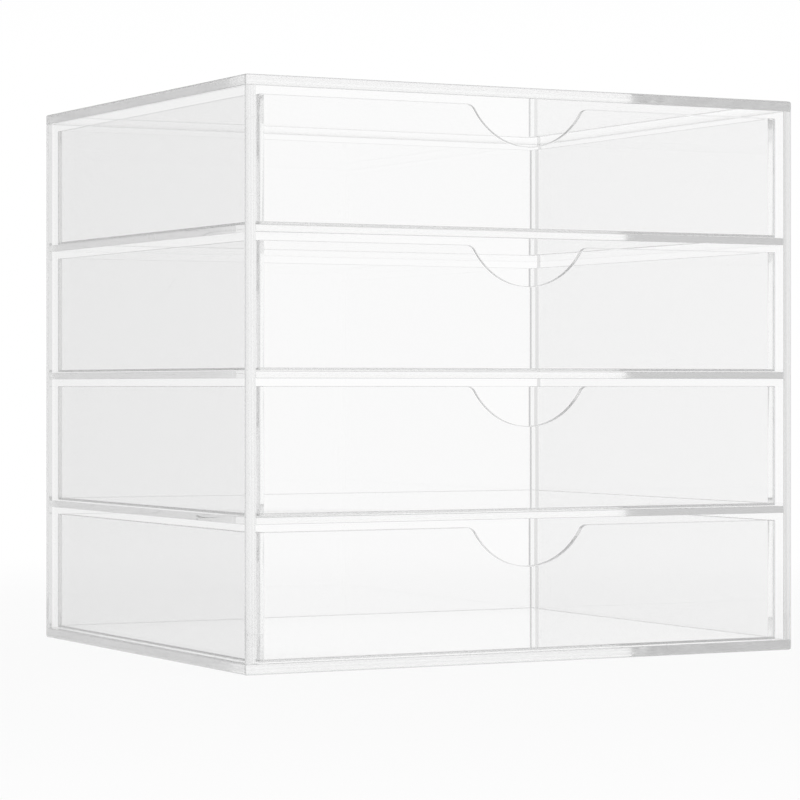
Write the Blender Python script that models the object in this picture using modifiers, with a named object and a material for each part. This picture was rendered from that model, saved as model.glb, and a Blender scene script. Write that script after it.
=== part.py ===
"""A clear acrylic organizer: an open-fronted case of glued sheet with four pull-out drawers.

Metres, +Z up. The origin lies on the table under the middle of the case, +X points to the
right and +Y to the back, so the drawers pull out towards -Y.
"""

from math import atan2, cos, pi, radians, sin, sqrt

import bmesh
import bpy
from mathutils import Matrix

# Outside of the case: 11 in wide, 9 in deep and 10 in high
CASE_WIDTH = 0.2794
CASE_DEPTH = 0.2286
CASE_HEIGHT = 0.2540
DRAWER_COUNT = 4

# Thickness of the sheet that each kind of panel is cut from
CASE_SHEET = 0.00476
SHELF_SHEET = 0.00318
DRAWER_SHEET = 0.0030
FLOOR_SHEET = 0.0010

# Gap that a cemented joint keeps between its two sheets
WELD_GAP = 0.0003

# Room around a closed drawer in its bay
RUNNING_GAP = 0.0003
FRONT_RECESS = 0.0025
SIDE_CLEARANCE = 0.0028
TOP_CLEARANCE = 0.0033
BACK_CLEARANCE = 0.0003

# Finger notch in the top edge of a drawer front
NOTCH_RADIUS = 0.0315
NOTCH_DEPTH = 0.0177
NOTCH_FILLET = 0.0045

# Polished edges: the outer corners of the case, the other cut edges, and the thin floors
OUTER_ROUND = 0.0012
EDGE_ROUND = 0.0004
FLOOR_ROUND = 0.0002

# Corners of an extruded outline that lie closer than this are one
MERGE_DISTANCE = 0.000002

OUTER_SEGMENTS = 4
EDGE_SEGMENTS = 2
NOTCH_STEPS = 24
FILLET_STEPS = 6
SHARP_ANGLE = radians(45)
FLAT_ANGLE = radians(1)

# Clear sheet: colourless, polished, with the refractive index of acrylic
CASE_TINT = (0.975, 0.975, 0.975, 1.0)
DRAWER_TINT = (0.980, 0.980, 0.980, 1.0)
VIEWPORT_ALPHA = 0.35
POLISH_ROUGHNESS = 0.02
ACRYLIC_IOR = 1.49

# Inside of the case
INNER_WIDTH = CASE_WIDTH - 2 * CASE_SHEET
INNER_HEIGHT = CASE_HEIGHT - 2 * CASE_SHEET
BAY_HEIGHT = (INNER_HEIGHT - (DRAWER_COUNT - 1) * SHELF_SHEET) / DRAWER_COUNT
BAY_PITCH = BAY_HEIGHT + SHELF_SHEET
CASE_FRONT = -CASE_DEPTH / 2
CASE_BACK = CASE_DEPTH / 2
BACK_PANEL_FRONT = CASE_BACK - CASE_SHEET

# Outside of one drawer, whose front lies a little behind the front of the case
DRAWER_FRONT = CASE_FRONT + FRONT_RECESS
DRAWER_WIDTH = INNER_WIDTH - 2 * SIDE_CLEARANCE
DRAWER_HEIGHT = BAY_HEIGHT - RUNNING_GAP - TOP_CLEARANCE
DRAWER_DEPTH = BACK_PANEL_FRONT - BACK_CLEARANCE - DRAWER_FRONT
WALL_FOOT = FLOOR_SHEET + WELD_GAP
WALL_HEIGHT = DRAWER_HEIGHT - WALL_FOOT

OUTWARD = {
    "left": (-1, 0, 0),
    "right": (1, 0, 0),
    "front": (0, -1, 0),
    "back": (0, 1, 0),
    "bottom": (0, 0, -1),
    "top": (0, 0, 1),
}


def clear_scene():
    """Empty the scene that the script was opened in."""
    for item in list(bpy.data.objects):
        bpy.data.objects.remove(item, do_unlink=True)


def new_collection(name):
    """A collection linked to the scene."""
    collection = bpy.data.collections.new(name)
    bpy.context.scene.collection.children.link(collection)
    return collection


def acrylic(name, tint):
    """Clear polished acrylic for one piece."""
    material = bpy.data.materials.new(name + "_acrylic")
    material.use_nodes = True
    material.diffuse_color = (*tint[:3], VIEWPORT_ALPHA)
    surface = material.node_tree.nodes["Principled BSDF"].inputs
    surface["Base Color"].default_value = tint
    surface["Roughness"].default_value = POLISH_ROUGHNESS
    surface["Metallic"].default_value = 0.0
    surface["IOR"].default_value = ACRYLIC_IOR
    surface["Transmission Weight"].default_value = 1.0
    return material


def add_piece(name, data, collection, centre, parent=None):
    """An object for one piece, with its centre at a place on the object or in its parent."""
    piece = bpy.data.objects.new(name, data)
    collection.objects.link(piece)
    piece.location = centre
    piece.parent = parent
    return piece


def round_edges(piece, width, segments, limit):
    """A Bevel on the weighted edges, or on every edge sharper than SHARP_ANGLE."""
    bevel = piece.modifiers.new("round_" + limit.lower(), "BEVEL")
    bevel.limit_method = limit
    bevel.angle_limit = SHARP_ANGLE
    bevel.width = width
    bevel.segments = segments
    bevel.harden_normals = True


def mark_outer_edges(bm, outer):
    """Weight each box edge whose two faces both lie on the outside of the case."""
    weight = bm.edges.layers.float.new("bevel_weight_edge")
    bm.normal_update()
    normals = [OUTWARD[side] for side in outer]
    for edge in bm.edges:
        faces = [tuple(round(part) for part in face.normal) for face in edge.link_faces]
        if all(face in normals for face in faces):
            edge[weight] = 1.0


def sheet(name, collection, low, high, tint, edge_round=EDGE_ROUND, outer=(), parent=None):
    """One rectangular sheet between two corners, with its cut edges polished round.

    outer names the sides of the sheet that lie on the outside of the case.
    """
    size = [top - bottom for bottom, top in zip(low, high)]
    centre = [(top + bottom) / 2 for bottom, top in zip(low, high)]
    bm = bmesh.new()
    bmesh.ops.create_cube(bm, size=1.0, matrix=Matrix.Diagonal((*size, 1.0)))
    mark_outer_edges(bm, outer)
    mesh = bpy.data.meshes.new(name)
    bm.to_mesh(mesh)
    bm.free()
    mesh.shade_smooth()
    mesh.materials.append(acrylic(name, tint))
    piece = add_piece(name, mesh, collection, centre, parent)
    if outer:
        round_edges(piece, OUTER_ROUND, OUTER_SEGMENTS, "WEIGHT")
    round_edges(piece, edge_round, EDGE_SEGMENTS, "ANGLE")
    return piece


def arc(centre, radius, start, end, steps):
    """Points along an arc, both ends included, with angles in radians from +X."""
    angles = [start + (end - start) * step / steps for step in range(steps + 1)]
    return [(centre[0] + radius * cos(a), centre[1] + radius * sin(a)) for a in angles]


def notched_outline(width, height):
    """The outline of a drawer front, counter-clockwise, with the middle of its foot at zero.

    The notch is one arc whose centre lies above the top edge, and two fillets that turn it
    into that edge.
    """
    rise = NOTCH_RADIUS - NOTCH_DEPTH
    drop = rise + NOTCH_FILLET
    reach = sqrt((NOTCH_RADIUS + NOTCH_FILLET) ** 2 - drop**2)
    slope = atan2(drop, reach)
    fillet_height = height - NOTCH_FILLET
    right = arc((reach, fillet_height), NOTCH_FILLET, pi / 2, pi - slope, FILLET_STEPS)
    bottom = arc((0, height + rise), NOTCH_RADIUS, -slope, slope - pi, NOTCH_STEPS)
    left = [(-x, z) for x, z in reversed(right)]
    feet = [(-width / 2, 0), (width / 2, 0)]
    return [*feet, (width / 2, height), *right, *bottom[1:-1], *left, (-width / 2, height)]


def notched_sheet(name, collection, width, height, low_y, foot_z, parent):
    """A drawer front, upright, as an extruded outline with its cut edges polished round."""
    outline = notched_outline(width, height)
    curve = bpy.data.curves.new(name, "CURVE")
    curve.dimensions = "2D"
    curve.fill_mode = "BOTH"
    curve.extrude = DRAWER_SHEET / 2
    spline = curve.splines.new("POLY")
    spline.points.add(len(outline) - 1)
    for point, (x, z) in zip(spline.points, outline):
        point.co = (x, z, 0, 1)
    spline.use_cyclic_u = True
    curve.materials.append(acrylic(name, DRAWER_TINT))
    piece = add_piece(name, curve, collection, (0, low_y + DRAWER_SHEET / 2, foot_z), parent)
    piece.rotation_euler = (pi / 2, 0, 0)
    weld = piece.modifiers.new("weld", "WELD")
    weld.merge_threshold = MERGE_DISTANCE
    flatten = piece.modifiers.new("flatten", "DECIMATE")
    flatten.decimate_type = "DISSOLVE"
    flatten.angle_limit = FLAT_ANGLE
    round_edges(piece, EDGE_ROUND, EDGE_SEGMENTS, "ANGLE")
    return piece


def bay_floor(number):
    """Height of the surface that a drawer runs on, with drawer 1 at the top."""
    return CASE_SHEET + (DRAWER_COUNT - number) * BAY_PITCH


def build_case(collection):
    """Top and base over and under everything, the back between them, then sides and shelves."""
    half_width = CASE_WIDTH / 2
    half_inner = INNER_WIDTH / 2
    wall_foot = CASE_SHEET + WELD_GAP
    wall_head = CASE_HEIGHT - CASE_SHEET - WELD_GAP
    wall_back = BACK_PANEL_FRONT - WELD_GAP

    def panel(name, low, high, outer=()):
        return sheet(name, collection, low, high, CASE_TINT, outer=outer)

    around = ("left", "right", "front", "back")
    panel(
        "top_panel",
        (-half_width, CASE_FRONT, CASE_HEIGHT - CASE_SHEET),
        (half_width, CASE_BACK, CASE_HEIGHT),
        (*around, "top"),
    )
    panel(
        "base_panel",
        (-half_width, CASE_FRONT, 0),
        (half_width, CASE_BACK, CASE_SHEET),
        (*around, "bottom"),
    )
    panel(
        "back_panel",
        (-half_width, BACK_PANEL_FRONT, wall_foot),
        (half_width, CASE_BACK, wall_head),
        ("left", "right", "back"),
    )
    panel(
        "left_side_panel",
        (-half_width, CASE_FRONT, wall_foot),
        (-half_inner, wall_back, wall_head),
        ("left", "front"),
    )
    panel(
        "right_side_panel",
        (half_inner, CASE_FRONT, wall_foot),
        (half_width, wall_back, wall_head),
        ("right", "front"),
    )
    for number in range(1, DRAWER_COUNT):
        shelf_top = bay_floor(number)
        panel(
            f"shelf_{number}",
            (-half_inner + WELD_GAP, CASE_FRONT, shelf_top - SHELF_SHEET),
            (half_inner - WELD_GAP, wall_back, shelf_top),
        )


def build_drawer(number, collection):
    """One drawer: a thin floor with four walls on it, the front over the ends of the sides."""
    carrier = add_piece(
        f"drawer_{number}", None, collection, (0, DRAWER_FRONT, bay_floor(number) + RUNNING_GAP)
    )
    half_width = DRAWER_WIDTH / 2
    half_inner = half_width - DRAWER_SHEET
    side_front = DRAWER_SHEET + WELD_GAP
    back_front = DRAWER_DEPTH - DRAWER_SHEET

    def part(name, low, high, edge_round=EDGE_ROUND):
        full_name = f"drawer_{number}_{name}"
        return sheet(full_name, collection, low, high, DRAWER_TINT, edge_round, parent=carrier)

    notched_sheet(
        f"drawer_{number}_front", collection, DRAWER_WIDTH, WALL_HEIGHT, 0, WALL_FOOT, carrier
    )
    part(
        "left_side",
        (-half_width, side_front, WALL_FOOT),
        (-half_inner, DRAWER_DEPTH, DRAWER_HEIGHT),
    )
    part(
        "right_side",
        (half_inner, side_front, WALL_FOOT),
        (half_width, DRAWER_DEPTH, DRAWER_HEIGHT),
    )
    part(
        "back",
        (-half_inner + WELD_GAP, back_front, WALL_FOOT),
        (half_inner - WELD_GAP, DRAWER_DEPTH, DRAWER_HEIGHT),
    )
    part("floor", (-half_width, 0, 0), (half_width, DRAWER_DEPTH, FLOOR_SHEET), FLOOR_ROUND)


def main():
    clear_scene()
    organizer = new_collection("acrylic_drawer_organizer")
    build_case(organizer)
    for number in range(1, DRAWER_COUNT + 1):
        build_drawer(number, organizer)


main()
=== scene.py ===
# %% [markdown]
# # A clear acrylic organizer with four drawers
#
# The real object is flat clear sheet: cut, polished on its edges and cemented into a case with
# three shelves, and into four drawers that slide in it. There is no paint, no metal and no
# fitting, so everything that the eye reads is light that was bent or thrown back at a face, and
# above all at an edge. This script dresses the fixed frame of the part: it builds every sheet
# again with finer edges, gives faces and cut edges their own acrylic, and sets up a bright
# studio in which clear sheet shows.
#
# All lengths are metres. The origin is on the table under the middle of the case, +X is right
# and the drawers pull out towards -Y.

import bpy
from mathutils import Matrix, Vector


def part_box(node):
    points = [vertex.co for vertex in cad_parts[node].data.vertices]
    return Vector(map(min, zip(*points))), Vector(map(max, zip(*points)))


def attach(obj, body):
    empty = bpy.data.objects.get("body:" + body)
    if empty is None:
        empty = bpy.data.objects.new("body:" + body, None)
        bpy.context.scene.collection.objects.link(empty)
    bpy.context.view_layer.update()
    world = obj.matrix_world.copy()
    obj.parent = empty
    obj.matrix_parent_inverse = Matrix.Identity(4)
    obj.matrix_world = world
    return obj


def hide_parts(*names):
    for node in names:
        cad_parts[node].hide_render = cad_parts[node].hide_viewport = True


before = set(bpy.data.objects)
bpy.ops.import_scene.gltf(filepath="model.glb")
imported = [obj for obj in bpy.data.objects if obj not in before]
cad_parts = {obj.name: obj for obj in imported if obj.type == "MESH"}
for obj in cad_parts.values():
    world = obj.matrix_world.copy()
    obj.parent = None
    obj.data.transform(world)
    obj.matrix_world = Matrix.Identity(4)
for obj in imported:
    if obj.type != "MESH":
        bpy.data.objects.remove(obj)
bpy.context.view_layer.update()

# %% Tools
from math import acos, radians, sin

import bmesh
import bpy
from mathutils import Vector

scene = bpy.context.scene
MM = 0.001

# %% [markdown]
# ## The camera
#
# The view is a long lens at half the height of the case, held level, so all uprights stay
# upright. A level camera would put the horizon in the middle of the picture. A small shift of
# the sensor frames the object without tilting the camera.

# %% Camera
CAMERA_PLACE = (-0.6963, -1.2967, 0.1219)
CAMERA_HEADING = radians(27.67)
PICTURE_WIDTH = 800
FOCAL_PIXELS = 3099
FRAME_SHIFT_PIXELS = (21, -13.4)

camera_data = bpy.data.cameras.new("camera")
camera_data.sensor_width = 36
camera_data.lens = FOCAL_PIXELS * camera_data.sensor_width / PICTURE_WIDTH
camera_data.shift_x = FRAME_SHIFT_PIXELS[0] / PICTURE_WIDTH
camera_data.shift_y = FRAME_SHIFT_PIXELS[1] / PICTURE_WIDTH
camera = bpy.data.objects.new("camera", camera_data)
camera.location = CAMERA_PLACE
camera.rotation_euler = (radians(90), 0, -CAMERA_HEADING)
scene.collection.objects.link(camera)
scene.camera = camera
print("lens", round(camera_data.lens, 1), "mm")

# %% [markdown]
# ## How far a ray may travel
#
# A ray that enters a sheet through its cut edge bounces from face to face all the way to the
# other edge: in a drawer floor of 1 mm that can be a few hundred times. A ray that is given up
# on comes back black, so the limits are far above the usual ones.

# %% Light paths
RAY_BOUNCES = 300

scene.cycles.max_bounces = RAY_BOUNCES
scene.cycles.transmission_bounces = RAY_BOUNCES
scene.cycles.glossy_bounces = RAY_BOUNCES
scene.view_settings.view_transform = "Standard"

# %% [markdown]
# ## Writing shaders as sums
#
# A node tree is easier to read as an expression. `Wire` wraps one output socket, and a sum or a
# product of wires adds the Math node for it. Every other node comes from `Shader.node`.

# %% Shader tools
class Wire:
    """One output socket, with arithmetic."""

    def __init__(self, shader, socket):
        self.shader, self.socket = shader, socket

    def math(self, operation, first, second):
        node = self.shader.node("Math", {"operation": operation}, {0: first, 1: second})
        return Wire(self.shader, node.outputs[0])

    def __add__(self, other):
        return self.math("ADD", self, other)

    def __sub__(self, other):
        return self.math("SUBTRACT", self, other)

    def __rsub__(self, other):
        return self.math("SUBTRACT", other, self)

    def __mul__(self, other):
        return self.math("MULTIPLY", self, other)

    __radd__ = __add__
    __rmul__ = __mul__

    def ramp(self, start, end, low=0.0, high=1.0):
        """A smooth step from low, at start, to high, at end."""
        settings = {"interpolation_type": "SMOOTHSTEP"}
        values = {"Value": self, "From Min": start, "From Max": end, "To Min": low, "To Max": high}
        return Wire(self.shader, self.shader.node("MapRange", settings, values).outputs[0])


class Shader:
    """The node tree of a material or a world, emptied but for its output."""

    def __init__(self, owner):
        owner.use_nodes = True
        self.tree = owner.node_tree
        self.tree.nodes.clear()

    def node(self, kind, settings=None, sockets=None):
        node = self.tree.nodes.new("ShaderNode" + kind)
        for name, value in (settings or {}).items():
            setattr(node, name, value)
        for name, value in (sockets or {}).items():
            if isinstance(value, Wire):
                value = value.socket
            if isinstance(value, bpy.types.NodeSocket):
                self.tree.links.new(value, node.inputs[name])
            else:
                node.inputs[name].default_value = value
        return node

    def wire(self, kind, output, settings=None, sockets=None):
        return Wire(self, self.node(kind, settings, sockets).outputs[output])


# %% [markdown]
# ## Clear acrylic
#
# Cast acrylic is nearly perfect: colourless, with an index of 1.49. A flat colour with an alpha
# would be wrong here, because the grey that we see on the sides is the share of light that a
# slanted view loses at each face. So the faces are true refracting acrylic, and what is varied
# is small: the sheet has a faint swell from casting, which moves reflections a little, and a
# trace of haze.

# %% Acrylic on the faces
ACRYLIC_INDEX = 1.49
CLEAR = (0.998, 0.998, 0.998, 1.0)
SWELL_PER_METRE = 14
SWELL_HEIGHT = 0.004 * MM
HAZE_PER_METRE = 60
HAZE_NOISE = (0.4, 0.8)
HAZE = (0.0, 0.012)


def acrylic_output(shader, roughness, normal):
    surface = shader.node("BsdfPrincipled", None, {
        "Base Color": CLEAR, "Roughness": roughness, "IOR": ACRYLIC_INDEX,
        "Transmission Weight": 1.0, "Normal": normal,
    })
    shader.node("OutputMaterial", None, {"Surface": surface.outputs[0]})


def face_acrylic(name):
    material = bpy.data.materials.new(name)
    shader = Shader(material)
    place = shader.node("TexCoord").outputs["Object"]
    swell = shader.wire("TexNoise", "Fac", None, {"Vector": place, "Scale": SWELL_PER_METRE})
    haze = shader.wire("TexNoise", "Fac", None, {"Vector": place, "Scale": HAZE_PER_METRE})
    bump = shader.node("Bump", None, {"Height": swell, "Distance": SWELL_HEIGHT})
    acrylic_output(shader, haze.ramp(*HAZE_NOISE, *HAZE), bump.outputs[0])
    return material


# %% [markdown]
# ## Cut edges
#
# An edge is sawn, scraped and polished by hand, and never gets as clear as a face: what is seen
# through it is blurred, so that it looks like pale satin glass. The scraper leaves long fine
# lines, which run along the edge. Noise of the coordinate across the sheet draws them, and a
# little of the coordinates along it makes them waver.

# %% Acrylic on the cut edges
LINES_PER_METRE = 900
LINE_NOISE = (0.3, 0.7)
LINE_WAVER = 0.003
LINE_HEIGHT = 0.004 * MM
EDGE_HAZE = (0.11, 0.20)
AXES = "XYZ"


def edge_acrylic(name, thin_axis):
    material = bpy.data.materials.new(name)
    shader = Shader(material)
    place = shader.node("TexCoord").outputs["Object"]
    parts = shader.node("SeparateXYZ", None, {0: place}).outputs
    across = Wire(shader, parts[thin_axis])
    along = [Wire(shader, parts[axis]) for axis in AXES if axis != thin_axis]
    lines = shader.wire("TexNoise", "Fac", {"noise_dimensions": "1D"}, {
        "W": across + (along[0] + along[1]) * LINE_WAVER, "Scale": LINES_PER_METRE, "Detail": 0,
    })
    bump = shader.node("Bump", None, {"Height": lines, "Distance": LINE_HEIGHT})
    acrylic_output(shader, lines.ramp(*LINE_NOISE, *EDGE_HAZE), bump.outputs[0])
    return material


# %% [markdown]
# ## Eased corners
#
# Where a face meets a cut edge, the corner is eased with a scraper and flamed until it is as
# clear as glass. It is only a few tenths of a millimetre wide, yet it bends the light more than
# any other surface, so it shows as the fine dark line that outlines every sheet.

# %% Acrylic on the eased corners
CORNER_HAZE = (0.0, 0.01)
FLAME_PER_METRE = 900
FLAME_HEIGHT = 0.001 * MM


def corner_acrylic(name):
    material = bpy.data.materials.new(name)
    shader = Shader(material)
    place = shader.node("TexCoord").outputs["Object"]
    haze = shader.wire("TexNoise", "Fac", None, {"Vector": place, "Scale": HAZE_PER_METRE})
    flame = shader.wire("TexNoise", "Fac", None, {"Vector": place, "Scale": FLAME_PER_METRE})
    bump = shader.node("Bump", None, {"Height": flame, "Distance": FLAME_HEIGHT})
    acrylic_output(shader, haze.ramp(*HAZE_NOISE, *CORNER_HAZE), bump.outputs[0])
    return material


face_finish = face_acrylic("clear_face")
corner_finish = corner_acrylic("eased_corner")
edge_finish = {axis: edge_acrylic("polished_edge_" + axis.lower(), axis) for axis in AXES}
print("finishes:", face_finish.name, corner_finish.name, [m.name for m in edge_finish.values()])

# %% [markdown]
# ## One sheet
#
# A sheet starts as a cube that is stretched to the frame's own box. On the real case the outer
# corners are rounded in one go after cementing, free edges are only eased, and an edge that is
# cemented stays sharp, because a rounded one would leave a groove. So three bevels follow each
# other, widest first. Cement pulls the sheets together, so the visible sheet also closes the
# gap that the frame leaves between its solids.

# %% Sheet maker
OUTER_ROUND = 1.2 * MM
EASED_ROUND = 0.45 * MM
JOINT_ROUND = 0.06 * MM
FRAME_GAP = 0.3 * MM
CEMENT_FILM = 0.04 * MM
OUTER_SEGMENTS, EASED_SEGMENTS, JOINT_SEGMENTS = 8, 4, 1
SHARP = radians(45)
ALIGNED, LEVEL = 0.999, 0.01
SIDES = {
    "left": Vector((-1, 0, 0)), "right": Vector((1, 0, 0)), "front": Vector((0, -1, 0)),
    "back": Vector((0, 1, 0)), "bottom": Vector((0, 0, -1)), "top": Vector((0, 0, 1)),
}


def facing(face, sides):
    """True if a face looks to one of these sides."""
    return any(face.normal.dot(SIDES[side]) > ALIGNED for side in sides)


def round_off(bm, edges, width, segments):
    bmesh.ops.bevel(
        bm, geom=edges, offset=width, offset_type="OFFSET", segments=segments,
        profile=0.5, affect="EDGES", material=-1,
    )
    bm.normal_update()


def sharp_edges(bm):
    return [e for e in bm.edges if len(e.link_faces) == 2 and e.calc_face_angle() > SHARP]


def finish_edges(bm, outer, glued):
    """The three bevels: outer corners, then free edges, then cemented ones."""
    bm.normal_update()
    corners = [e for e in sharp_edges(bm) if all(facing(f, outer) for f in e.link_faces)]
    if corners:
        round_off(bm, corners, OUTER_ROUND, OUTER_SEGMENTS)
    free = [e for e in sharp_edges(bm) if not any(facing(f, glued) for f in e.link_faces)]
    if free:
        round_off(bm, free, EASED_ROUND, EASED_SEGMENTS)
    joints = sharp_edges(bm)
    if joints:
        round_off(bm, joints, JOINT_ROUND, JOINT_SEGMENTS)


def add_sheet(bm, node, body, thin_axis, glued):
    """The visible sheet for one node. Cement fills a glued end, so it is as clear as a face."""
    axis = AXES.index(thin_axis)
    for face in bm.faces:
        face.smooth = True
        lean = abs(face.normal[axis])
        clear = lean > ALIGNED or facing(face, glued)
        face.material_index = 0 if clear else 1 if lean < LEVEL else 2
    mesh = bpy.data.meshes.new(node + "_sheet")
    bm.to_mesh(mesh)
    bm.free()
    for finish in (face_finish, edge_finish[thin_axis], corner_finish):
        mesh.materials.append(finish)
    piece = bpy.data.objects.new(node + "_sheet", mesh)
    scene.collection.objects.link(piece)
    piece.modifiers.new("flat_faces", "WEIGHTED_NORMAL")
    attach(piece, body)
    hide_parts(node)
    return piece


def flat_sheet(node, body, thin_axis, outer=(), glued=()):
    low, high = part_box(node)
    reach = FRAME_GAP - CEMENT_FILM
    for side in glued:
        grow = SIDES[side] * reach
        low += Vector(min(part, 0) for part in grow)
        high += Vector(max(part, 0) for part in grow)
    bm = bmesh.new()
    bmesh.ops.create_cube(bm, size=1)
    bmesh.ops.scale(bm, vec=high - low, verts=bm.verts)
    bmesh.ops.translate(bm, vec=(low + high) / 2, verts=bm.verts)
    finish_edges(bm, outer, glued)
    return add_sheet(bm, node, body, thin_axis, glued)


# %% [markdown]
# ## The case
#
# Top and base lie over and under everything, the back stands between them across the ends of
# the two sides, and the three shelves are cemented between the sides.

# %% Case
AROUND = ("left", "right", "front", "back")
flat_sheet("top_panel", "case", "Z", outer=(*AROUND, "top"))
flat_sheet("base_panel", "case", "Z", outer=(*AROUND, "bottom"))
flat_sheet(
    "back_panel", "case", "Y",
    outer=("left", "right", "back"), glued=("top", "bottom"),
)
for hand in ("left", "right"):
    flat_sheet(
        hand + "_side_panel", "case", "X",
        outer=(hand, "front"), glued=("top", "bottom", "back"),
    )
CASE_PANELS, SHELF_COUNT = 5, 3
for number in range(1, SHELF_COUNT + 1):
    flat_sheet(
        f"shelf_{number}", "case", "Z", glued=("left", "right", "back"),
    )
print("case:", CASE_PANELS + SHELF_COUNT, "sheets")

# %% [markdown]
# ## A drawer front with its finger notch
#
# The notch is one arc and two small fillets that turn it into the top edge. Half of the outline
# is drawn by spinning a vertex, first round the middle of the notch and then round the fillet.
# The corners are extruded from its last point, the half is mirrored, and the closed outline is
# filled and extruded to the thickness of the sheet. A Boolean would cut the same notch, but it
# leaves no fillets.

# %% Drawer front
NOTCH_RADIUS = 31.5 * MM
NOTCH_DEPTH = 17.7 * MM
NOTCH_FILLET = 4.5 * MM
NOTCH_STEPS, FILLET_STEPS = 40, 10
MERGE = 0.002 * MM


def spun(bm, vert, centre, angle, steps):
    """Sweeps a vertex round an upright sheet's normal and returns where it ends."""
    result = bmesh.ops.spin(bm, geom=[vert], cent=centre, axis=(0, 1, 0), angle=angle, steps=steps)
    return next(item for item in result["geom_last"] if isinstance(item, bmesh.types.BMVert))


def drawn_to(bm, vert, place):
    """Extrudes a vertex to a place, as an edge, and returns its end."""
    result = bmesh.ops.extrude_vert_indiv(bm, verts=[vert])
    end = result["verts"][0]
    end.co = place
    return end


def notched_front(node, body):
    low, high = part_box(node)
    low.z -= FRAME_GAP - CEMENT_FILM
    rise = NOTCH_RADIUS - NOTCH_DEPTH
    slope = acos((rise + NOTCH_FILLET) / (NOTCH_RADIUS + NOTCH_FILLET))
    reach = (NOTCH_RADIUS + NOTCH_FILLET) * sin(slope)
    bm = bmesh.new()
    foot_of_notch = bm.verts.new((0, low.y, high.z - NOTCH_DEPTH))
    end = spun(bm, foot_of_notch, (0, low.y, high.z + rise), -slope, NOTCH_STEPS)
    end = spun(bm, end, (reach, low.y, high.z - NOTCH_FILLET), slope, FILLET_STEPS)
    end = drawn_to(bm, end, (high.x, low.y, high.z))
    end = drawn_to(bm, end, (high.x, low.y, low.z))
    drawn_to(bm, end, (0, low.y, low.z))
    half = bm.verts[:] + bm.edges[:]
    bmesh.ops.mirror(bm, geom=half, axis="X", merge_dist=MERGE)
    bmesh.ops.remove_doubles(bm, verts=bm.verts, dist=MERGE)
    filled = bmesh.ops.contextual_create(bm, geom=bm.edges[:])["faces"]
    swept = bmesh.ops.extrude_face_region(bm, geom=filled)["geom"]
    moved = [item for item in swept if isinstance(item, bmesh.types.BMVert)]
    bmesh.ops.translate(bm, vec=(0, high.y - low.y, 0), verts=moved)
    bmesh.ops.recalc_face_normals(bm, faces=bm.faces)
    glued = ("bottom",)
    finish_edges(bm, (), glued)
    return add_sheet(bm, node, body, "Y", glued)


# %% [markdown]
# ## The drawers
#
# Each drawer is a thin floor with four walls on it. The front runs across the ends of the two
# sides, and the back stands between them.

# %% Drawers
DRAWER_COUNT = 4
for number in range(1, DRAWER_COUNT + 1):
    body = f"drawer_{number}"
    notched_front(body + "_front", body)
    for hand in ("left", "right"):
        flat_sheet(
            f"{body}_{hand}_side", body, "X", glued=("front", "bottom"),
        )
    flat_sheet(body + "_back", body, "Y", glued=("left", "right", "bottom"))
    flat_sheet(body + "_floor", body, "Z")
print("drawers:", DRAWER_COUNT, "with 5 sheets each")

# %% [markdown]
# ## The studio
#
# Clear sheet on white needs a white sweep behind it and a dimmer room around it, or nothing of
# it would show. The room is plain: a wide white sweep behind the object, grey to both sides and
# a pale wall behind the camera, each fading softly into the next, over an even pale ground and
# under a dim ceiling. Every ray sees the same room, whether it comes straight, through the
# sheets or off their faces.

# %% World
SWEEP_HEADING = CAMERA_HEADING
SWEEP_HALF_WIDTH = (radians(12), radians(48))
SWEEP_WHITE = 1.0
SIDE_GREY = 0.58
REAR_PALE = 0.80
REAR_BLEND = (-0.5, 0.3)
GROUND_PALE = 0.88
GROUND_FALL = (-0.45, -0.1)
CEILING_DIM = 0.5
CEILING_RISE = (0.1, 0.45)

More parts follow.
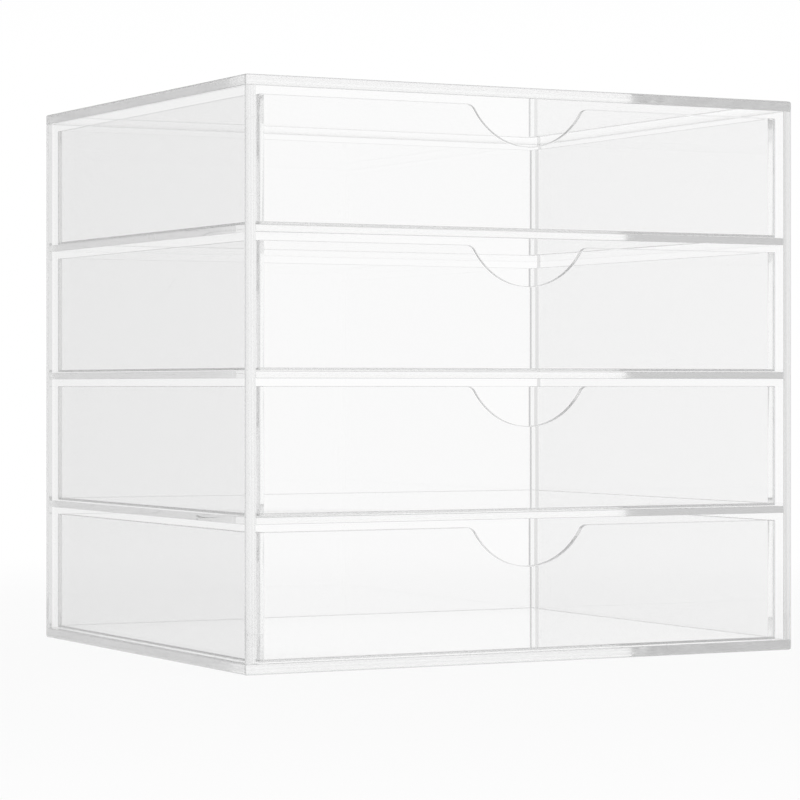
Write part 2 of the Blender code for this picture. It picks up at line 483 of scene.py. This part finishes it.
world = bpy.data.worlds.new("studio")
scene.world = world
world.cycles.sampling_method = "NONE"
room = Shader(world)
direction = room.node("SeparateXYZ", None, {
    0: room.node("TexCoord").outputs["Generated"],
}).outputs
heading = Wire(room, direction["X"]).math("ARCTAN2", direction["X"], direction["Y"])
turn = heading - SWEEP_HEADING
off_sweep = turn.math("ABSOLUTE", turn, 0)
wall = Wire(room, direction["Y"]).ramp(*REAR_BLEND, REAR_PALE, SIDE_GREY)
beside = off_sweep.ramp(*SWEEP_HALF_WIDTH)
walls = wall * beside + SWEEP_WHITE * (1 - beside)
height = Wire(room, direction["Z"])
above = height.ramp(*GROUND_FALL)
ceiling = height.ramp(*CEILING_RISE, 1.0, CEILING_DIM)
studio = (walls * above + GROUND_PALE * (1 - above)) * ceiling
light = room.node("Background", None, {"Color": (1, 1, 1, 1), "Strength": studio})
room.node("OutputWorld", None, {"Surface": light.outputs[0]})

# %% [markdown]
# ## The table
#
# The table takes on the tone of the room behind it, so that it runs into the backdrop. Near the
# object a share of it is plain white paper, which keeps the object's faint shadow. The share
# fades out towards the rim, so that no horizon shows.

# %% Floor
FLOOR_RADIUS = 0.9
FLOOR_DROP = 0.2 * MM
FLOOR_CORNERS = 96
PAPER_SHARE = 0.06
PAPER_RADIUS = (0.3, 0.85)

bm = bmesh.new()
bmesh.ops.create_circle(bm, cap_ends=True, radius=FLOOR_RADIUS, segments=FLOOR_CORNERS)
bmesh.ops.translate(bm, vec=(0, 0, -FLOOR_DROP), verts=bm.verts)
floor_mesh = bpy.data.meshes.new("table_top")
bm.to_mesh(floor_mesh)
bm.free()
floor = bpy.data.objects.new("table_top", floor_mesh)
scene.collection.objects.link(floor)
table_white = bpy.data.materials.new("white_table")
table = Shader(table_white)
paper = table.node("BsdfDiffuse", None, {"Color": (1, 1, 1, 1)})
backdrop = table.node("BsdfTransparent")
place = table.node("TexCoord").outputs["Object"]
reach = table.wire("VectorMath", "Value", {"operation": "LENGTH"}, {0: place})
top = table.node("MixShader", None, {
    0: reach.ramp(*PAPER_RADIUS, PAPER_SHARE, 0.0), 1: backdrop.outputs[0], 2: paper.outputs[0],
})
table.node("OutputMaterial", None, {"Surface": top.outputs[0]})
floor_mesh.materials.append(table_white)
